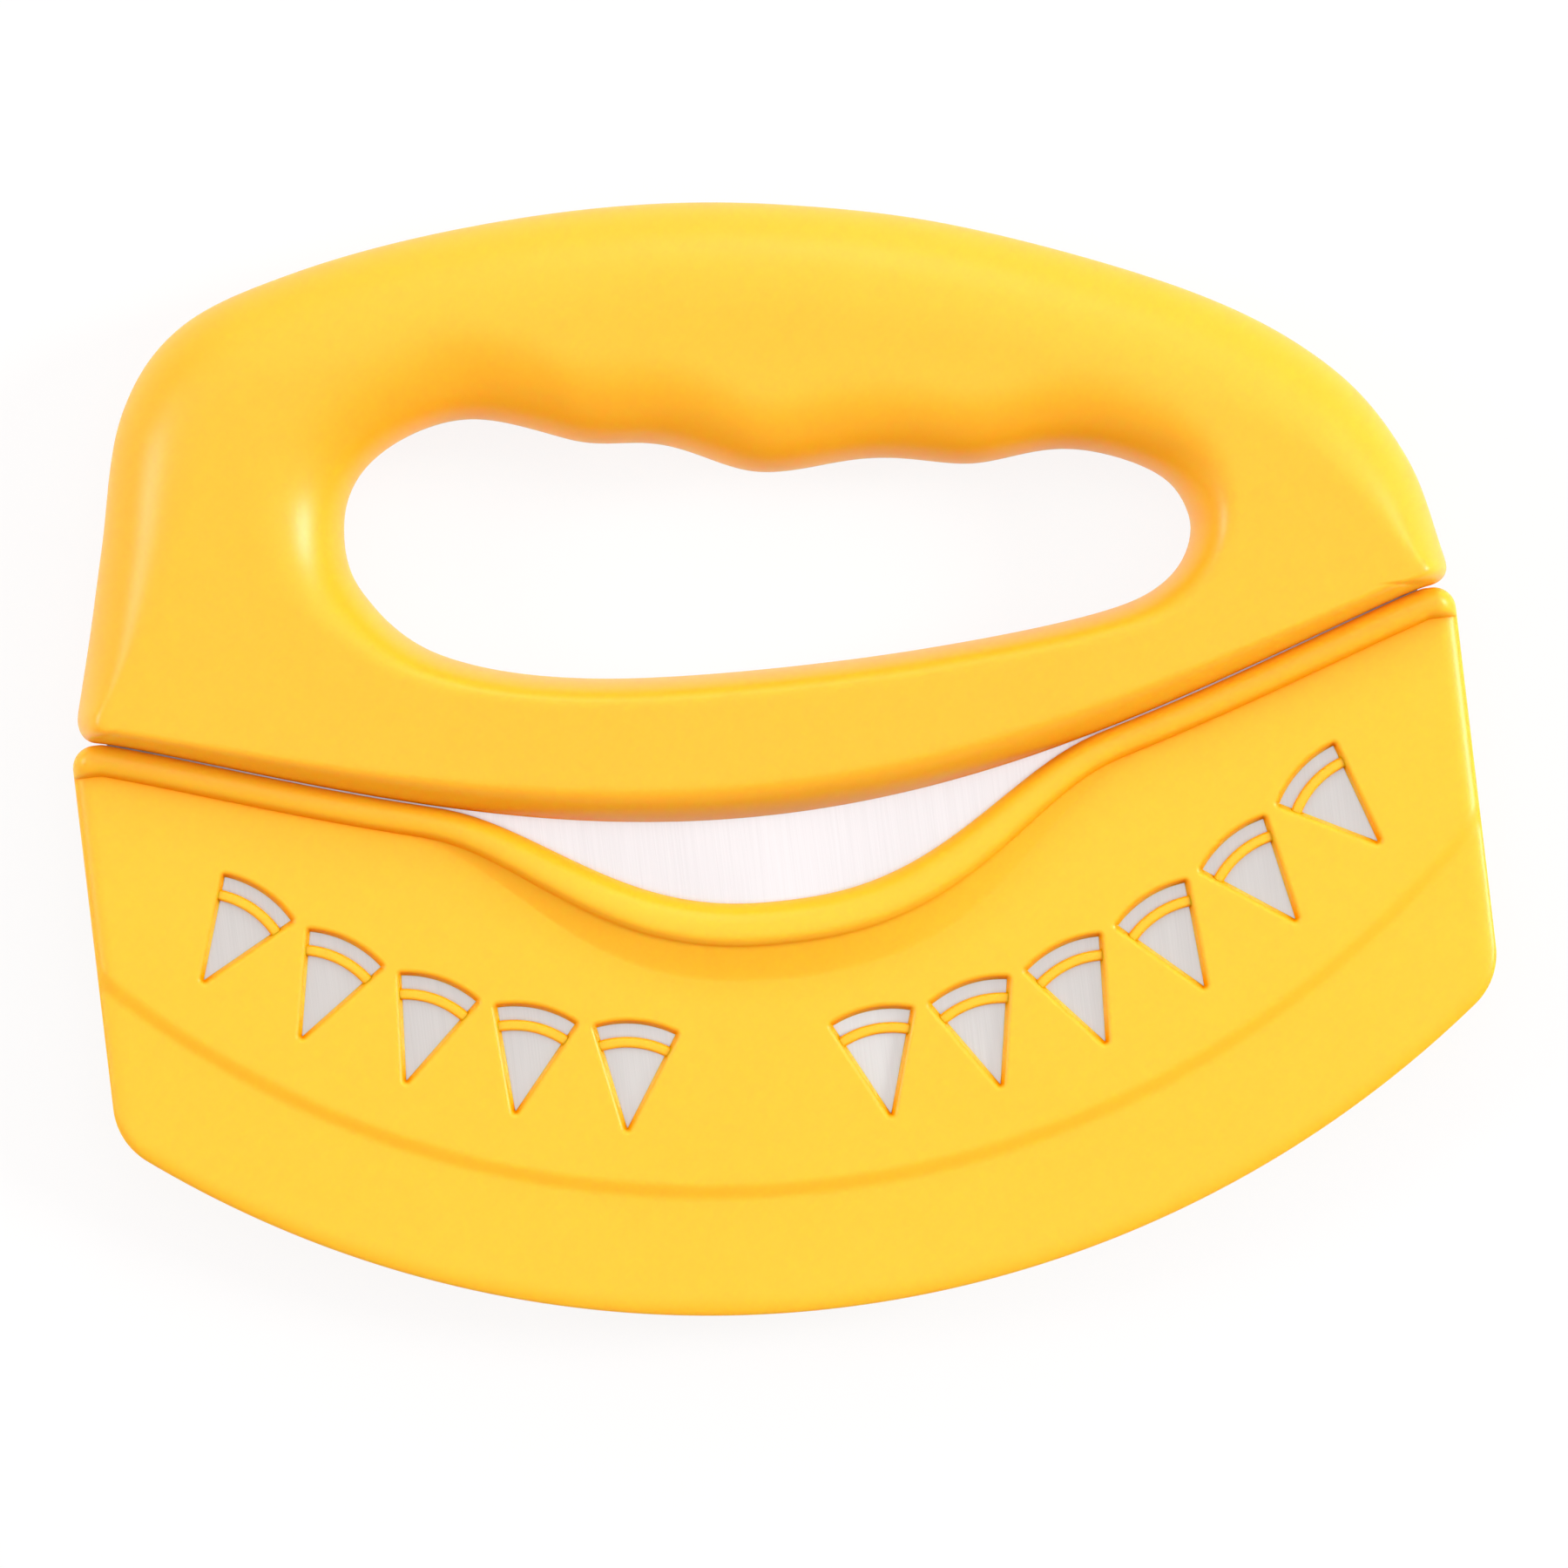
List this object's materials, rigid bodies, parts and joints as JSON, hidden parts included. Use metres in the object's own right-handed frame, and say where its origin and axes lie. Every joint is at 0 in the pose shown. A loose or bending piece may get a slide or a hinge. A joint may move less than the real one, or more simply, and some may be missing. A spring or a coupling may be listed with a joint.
{
  "type": "pizza cutter",
  "caption": "Rocker pizza cutter with a D-shaped finger grip, a curved steel blade and a slip-on blade guard with slice-shaped windows.",
  "frame": {"origin": "middle of the base of the whole cutter, which lies flat on the back of its handle", "axes": "+X along the cutting edge, +Y from the cutting edge to the grip, +Z from the back of the handle to its front"},
  "size_m": [0.18, 0.145, 0.021],
  "materials": {
    "handle_plastic": "satin moulded yellow plastic",
    "guard_plastic": "satin moulded yellow plastic",
    "blade_steel": "fine vertical brushing",
    "pin_steel": "turned"
  },
  "bodies": {
    "handle": {"handle_front": "handle_plastic", "handle_back": "handle_plastic", "blade": "blade_steel", "tang_pins": "pin_steel"},
    "guard": {"guard_front": "guard_plastic", "guard_back": "guard_plastic"}
  },
  "joints": [
    {"name": "guard_slide", "type": "slide", "parent": "handle", "child": "guard", "axis": [0, -1, 0], "range_m": [0, 0.08]}
  ]
}
